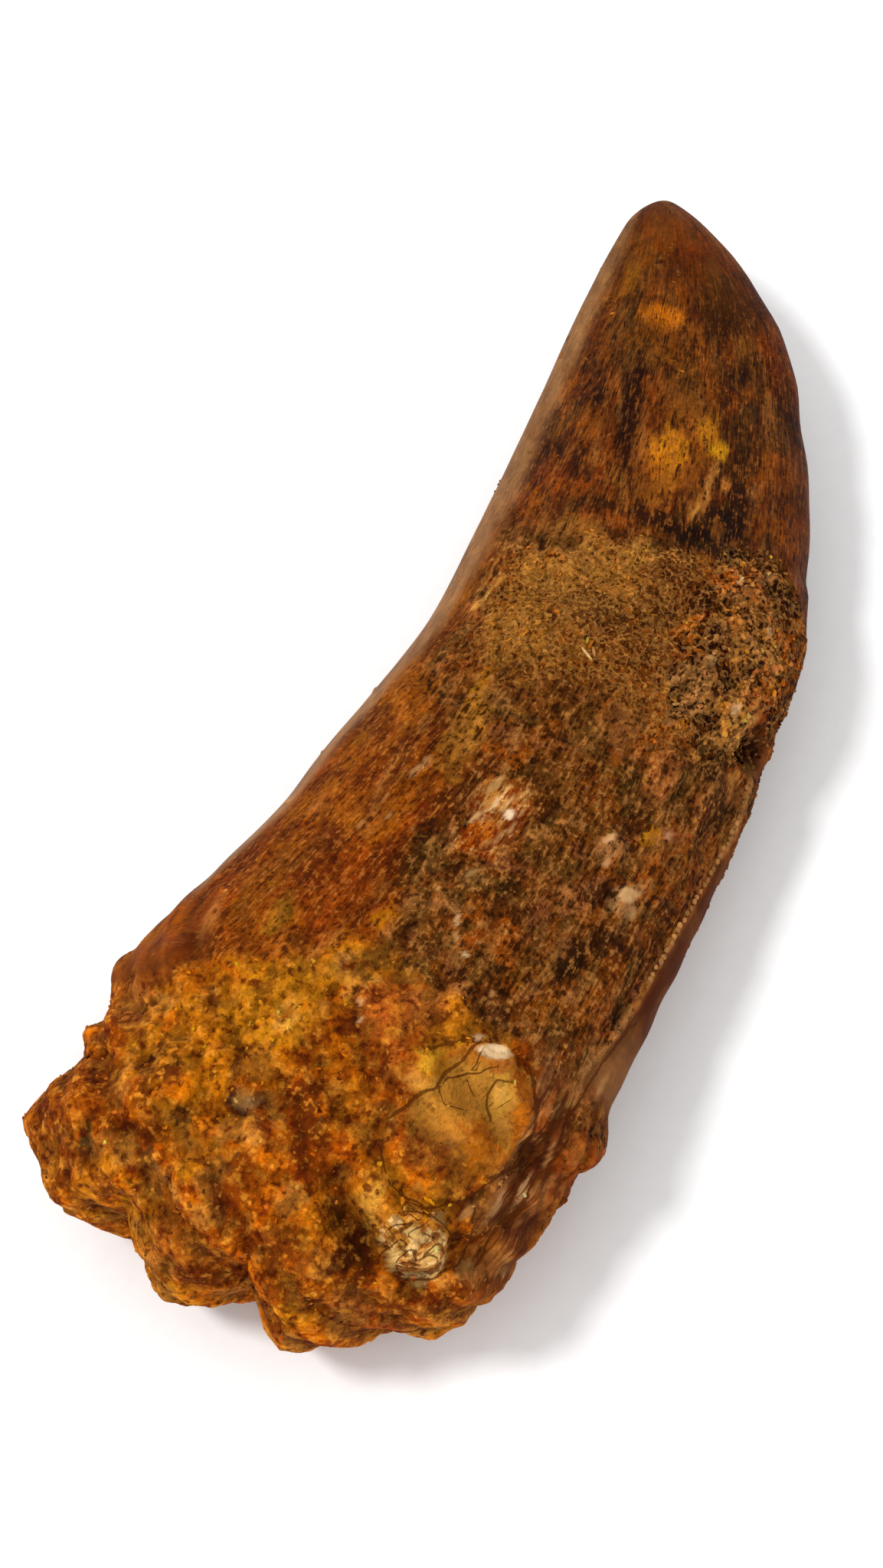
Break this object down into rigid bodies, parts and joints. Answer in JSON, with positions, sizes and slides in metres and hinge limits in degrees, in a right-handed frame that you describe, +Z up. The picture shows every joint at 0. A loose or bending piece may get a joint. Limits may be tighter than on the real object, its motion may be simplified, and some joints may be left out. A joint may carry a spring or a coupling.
{
  "type": "fossil dinosaur tooth",
  "caption": "Curved, flattened fossil tooth of a large meat-eating dinosaur, with a broken lobed root and a sandy crust, lying on its side.",
  "frame": {"origin": "centre of the tooth's footprint on the surface it lies on", "axes": "+X from the broken root to the tip, +Y towards the concave rear edge, +Z up from the face it lies on"},
  "size_m": [0.0947, 0.0408, 0.0208],
  "materials": {
    "fossil": "mineralised enamel, satin on the crown, rough and granular on the root and under the sandy crust"
  },
  "bodies": {
    "root": {"tooth": "fossil"}
  },
  "joints": []
}
